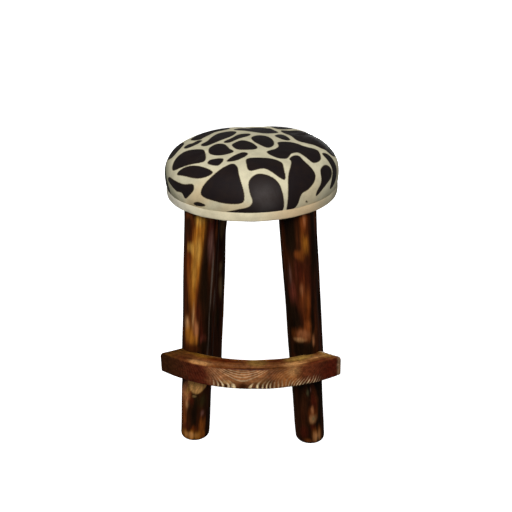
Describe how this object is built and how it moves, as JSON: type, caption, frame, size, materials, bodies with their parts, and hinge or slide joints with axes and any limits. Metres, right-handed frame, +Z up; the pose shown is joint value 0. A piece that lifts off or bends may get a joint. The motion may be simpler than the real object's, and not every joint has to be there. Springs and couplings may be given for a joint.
{
  "type": "counter stool",
  "caption": "Round counter stool with scorched log legs, a curved footrest and a domed seat in spotted pile fabric.",
  "frame": {"origin": "floor level, under the middle of the stool's overall width and depth", "axes": "+Z up, -Y towards the front, where the footrest is, +X to the right seen from the front"},
  "size_m": [0.3792, 0.3894, 0.64],
  "materials": {
    "scorched_log": "pine log, torch-scorched and lacquered",
    "scorched_plank": "pine plank, lightly scorched and lacquered",
    "board_pine": "sanded pine board",
    "wedge_beech": "sawn beech",
    "seat_foam": "open-cell seat foam",
    "spotted_pile": "short-pile fabric, printed with dark patches on cream",
    "cream_pile": "plain cream short-pile fabric",
    "zinc_steel": "zinc-plated steel"
  },
  "bodies": {
    "root": {"front_left_leg": "scorched_log", "front_right_leg": "scorched_log", "rear_left_leg": "scorched_log", "rear_right_leg": "scorched_log", "tenon_wedges": "wedge_beech", "footrest": "scorched_plank", "footrest_screws": "zinc_steel", "seat_board": "board_pine", "foam_pad": "seat_foam", "seat_cover": "spotted_pile", "cover_staples": "zinc_steel", "rim_band": "cream_pile"}
  },
  "joints": []
}
